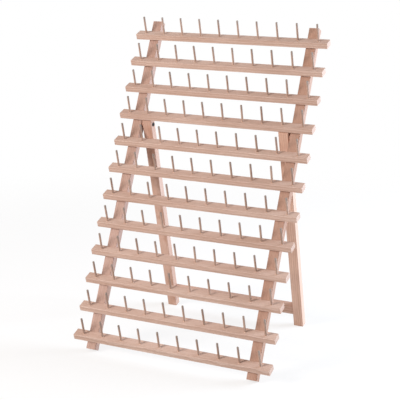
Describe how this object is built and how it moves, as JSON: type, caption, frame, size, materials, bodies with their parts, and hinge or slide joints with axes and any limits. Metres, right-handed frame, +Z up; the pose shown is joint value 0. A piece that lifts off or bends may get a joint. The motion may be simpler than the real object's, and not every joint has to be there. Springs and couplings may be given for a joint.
{
  "type": "thread rack",
  "caption": "Folding wooden thread rack: leaning stiles carry sloped rails of upright spool pegs, and hinged rear legs joined by a crossbar prop it open.",
  "frame": {"origin": "on the surface that the rack stands on, under the middle of the rack's width and depth", "axes": "+X along the rails to the user's right, +Y to the back, where the legs stand, +Z up"},
  "size_m": [0.401, 0.3194, 0.6123],
  "materials": {
    "stile_wood": "planed and sanded, unfinished",
    "rail_wood": "planed and sanded, unfinished",
    "leg_wood": "planed and sanded, unfinished",
    "peg_wood": "turned dowel, unfinished",
    "dowel_wood": "turned dowel, unfinished",
    "screw_steel": "dark oxide",
    "spacer_fibre": "brown vulcanised fibre, matt"
  },
  "bodies": {
    "front_frame": {"left_stile": "stile_wood", "pegs_row_01": "peg_wood", "pegs_row_02": "peg_wood", "pegs_row_03": "peg_wood", "pegs_row_04": "peg_wood", "pegs_row_05": "peg_wood", "pegs_row_06": "peg_wood", "pegs_row_07": "peg_wood", "pegs_row_08": "peg_wood", "pegs_row_09": "peg_wood", "pegs_row_10": "peg_wood", "pegs_row_11": "peg_wood", "pegs_row_12": "peg_wood", "pivot_screws": "screw_steel", "pivot_spacers": "spacer_fibre", "rail_01": "rail_wood", "rail_02": "rail_wood", "rail_03": "rail_wood", "rail_04": "rail_wood", "rail_05": "rail_wood", "rail_06": "rail_wood", "rail_07": "rail_wood", "rail_08": "rail_wood", "rail_09": "rail_wood", "rail_10": "rail_wood", "rail_11": "rail_wood", "rail_12": "rail_wood", "right_stile": "stile_wood"},
    "rear_leg_frame": {"left_rear_leg": "leg_wood", "right_rear_leg": "leg_wood", "rear_crossbar": "leg_wood", "crossbar_dowels": "dowel_wood"}
  },
  "joints": [
    {"name": "rear_leg_fold", "type": "hinge", "parent": "front_frame", "child": "rear_leg_frame", "pos_m": [0, 0.04812, 0.40829], "axis": [-1, 0, 0], "range_deg": [0, 27.8]}
  ]
}
